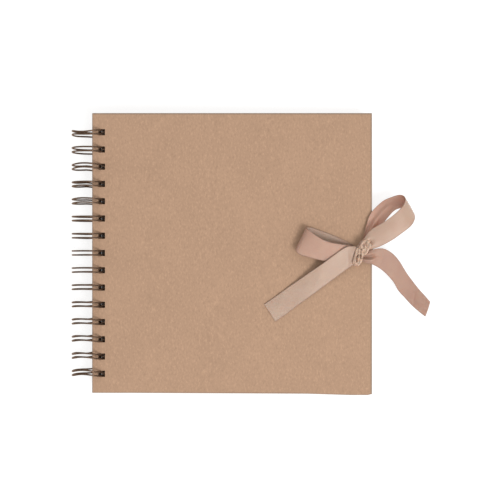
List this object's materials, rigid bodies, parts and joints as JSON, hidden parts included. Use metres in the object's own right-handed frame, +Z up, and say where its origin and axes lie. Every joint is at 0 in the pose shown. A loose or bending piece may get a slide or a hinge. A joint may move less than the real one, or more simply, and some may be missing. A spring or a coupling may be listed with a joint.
{
  "type": "scrapbook album",
  "caption": "Square hard-cover scrapbook with kraft card pages on twin-loop wire, tied shut with a satin ribbon bow.",
  "frame": {"origin": "under the middle of the whole object, on the table that the closed album lies on", "axes": "+X from the wire-bound spine to the fore edge, +Y along the spine, +Z up; the covers lean by 1.78 degrees about Y, because the wire loops are thicker than the closed stack"},
  "size_m": [0.2668, 0.206, 0.0254],
  "materials": {
    "kraft_wrap": "matte kraft paper with fine fibres",
    "greyboard": "pressed greyboard",
    "kraft_liner": "matte kraft card",
    "kraft_page": "matte kraft card",
    "bronze_wire": "satin dark bronze coating",
    "satin_ribbon": "satin weave with narrow selvedges"
  },
  "bodies": {
    "back_cover": {"back_board": "greyboard", "back_wrap": "kraft_wrap", "back_liner": "kraft_liner", "back_ribbon_tab": "satin_ribbon"},
    "binding_wire": {"twin_loop_wire": "bronze_wire"},
    "page_20": {"page_20": "kraft_page"},
    "page_19": {"page_19": "kraft_page"},
    "page_18": {"page_18": "kraft_page"},
    "page_17": {"page_17": "kraft_page"},
    "page_16": {"page_16": "kraft_page"},
    "page_15": {"page_15": "kraft_page"},
    "page_14": {"page_14": "kraft_page"},
    "page_13": {"page_13": "kraft_page"},
    "page_12": {"page_12": "kraft_page"},
    "page_11": {"page_11": "kraft_page"},
    "page_10": {"page_10": "kraft_page"},
    "page_09": {"page_09": "kraft_page"},
    "page_08": {"page_08": "kraft_page"},
    "page_07": {"page_07": "kraft_page"},
    "page_06": {"page_06": "kraft_page"},
    "page_05": {"page_05": "kraft_page"},
    "page_04": {"page_04": "kraft_page"},
    "page_03": {"page_03": "kraft_page"},
    "page_02": {"page_02": "kraft_page"},
    "page_01": {"page_01": "kraft_page"},
    "front_cover": {"front_board": "greyboard", "front_wrap": "kraft_wrap", "front_liner": "kraft_liner", "front_ribbon_lead": "satin_ribbon", "back_ribbon_lead": "satin_ribbon", "bow_knot": "satin_ribbon", "bow_left_loop": "satin_ribbon", "bow_right_loop": "satin_ribbon", "bow_left_tail": "satin_ribbon", "bow_right_tail": "satin_ribbon"}
  },
  "joints": [
    {"name": "wire_turn", "type": "hinge", "parent": "back_cover", "child": "binding_wire", "pos_m": [-0.12068, 0, 0.0127], "axis": [0, -1, 0], "range_deg": [-85, 15]},
    {"name": "page_20_turn", "type": "hinge", "parent": "back_cover", "child": "page_20", "pos_m": [-0.12068, 0, 0.0127], "axis": [0, -1, 0], "range_deg": [0, 180]},
    {"name": "page_19_turn", "type": "hinge", "parent": "page_20", "child": "page_19", "pos_m": [-0.12068, 0, 0.0127], "axis": [0, -1, 0], "range_deg": [0, 180]},
    {"name": "page_18_turn", "type": "hinge", "parent": "page_19", "child": "page_18", "pos_m": [-0.12068, 0, 0.0127], "axis": [0, -1, 0], "range_deg": [0, 180]},
    {"name": "page_17_turn", "type": "hinge", "parent": "page_18", "child": "page_17", "pos_m": [-0.12068, 0, 0.0127], "axis": [0, -1, 0], "range_deg": [0, 180]},
    {"name": "page_16_turn", "type": "hinge", "parent": "page_17", "child": "page_16", "pos_m": [-0.12068, 0, 0.0127], "axis": [0, -1, 0], "range_deg": [0, 180]},
    {"name": "page_15_turn", "type": "hinge", "parent": "page_16", "child": "page_15", "pos_m": [-0.12068, 0, 0.0127], "axis": [0, -1, 0], "range_deg": [0, 180]},
    {"name": "page_14_turn", "type": "hinge", "parent": "page_15", "child": "page_14", "pos_m": [-0.12068, 0, 0.0127], "axis": [0, -1, 0], "range_deg": [0, 180]},
    {"name": "page_13_turn", "type": "hinge", "parent": "page_14", "child": "page_13", "pos_m": [-0.12068, 0, 0.0127], "axis": [0, -1, 0], "range_deg": [0, 180]},
    {"name": "page_12_turn", "type": "hinge", "parent": "page_13", "child": "page_12", "pos_m": [-0.12068, 0, 0.0127], "axis": [0, -1, 0], "range_deg": [0, 180]},
    {"name": "page_11_turn", "type": "hinge", "parent": "page_12", "child": "page_11", "pos_m": [-0.12068, 0, 0.0127], "axis": [0, -1, 0], "range_deg": [0, 180]},
    {"name": "page_10_turn", "type": "hinge", "parent": "page_11", "child": "page_10", "pos_m": [-0.12068, 0, 0.0127], "axis": [0, -1, 0], "range_deg": [0, 180]},
    {"name": "page_09_turn", "type": "hinge", "parent": "page_10", "child": "page_09", "pos_m": [-0.12068, 0, 0.0127], "axis": [0, -1, 0], "range_deg": [0, 180]},
    {"name": "page_08_turn", "type": "hinge", "parent": "page_09", "child": "page_08", "pos_m": [-0.12068, 0, 0.0127], "axis": [0, -1, 0], "range_deg": [0, 180]},
    {"name": "page_07_turn", "type": "hinge", "parent": "page_08", "child": "page_07", "pos_m": [-0.12068, 0, 0.0127], "axis": [0, -1, 0], "range_deg": [0, 180]},
    {"name": "page_06_turn", "type": "hinge", "parent": "page_07", "child": "page_06", "pos_m": [-0.12068, 0, 0.0127], "axis": [0, -1, 0], "range_deg": [0, 180]},
    {"name": "page_05_turn", "type": "hinge", "parent": "page_06", "child": "page_05", "pos_m": [-0.12068, 0, 0.0127], "axis": [0, -1, 0], "range_deg": [0, 180]},
    {"name": "page_04_turn", "type": "hinge", "parent": "page_05", "child": "page_04", "pos_m": [-0.12068, 0, 0.0127], "axis": [0, -1, 0], "range_deg": [0, 180]},
    {"name": "page_03_turn", "type": "hinge", "parent": "page_04", "child": "page_03", "pos_m": [-0.12068, 0, 0.0127], "axis": [0, -1, 0], "range_deg": [0, 180]},
    {"name": "page_02_turn", "type": "hinge", "parent": "page_03", "child": "page_02", "pos_m": [-0.12068, 0, 0.0127], "axis": [0, -1, 0], "range_deg": [0, 180]},
    {"name": "page_01_turn", "type": "hinge", "parent": "page_02", "child": "page_01", "pos_m": [-0.12068, 0, 0.0127], "axis": [0, -1, 0], "range_deg": [0, 180]},
    {"name": "front_cover_turn", "type": "hinge", "parent": "page_01", "child": "front_cover", "pos_m": [-0.12068, 0, 0.0127], "axis": [0, -1, 0], "range_deg": [0, 180]}
  ]
}
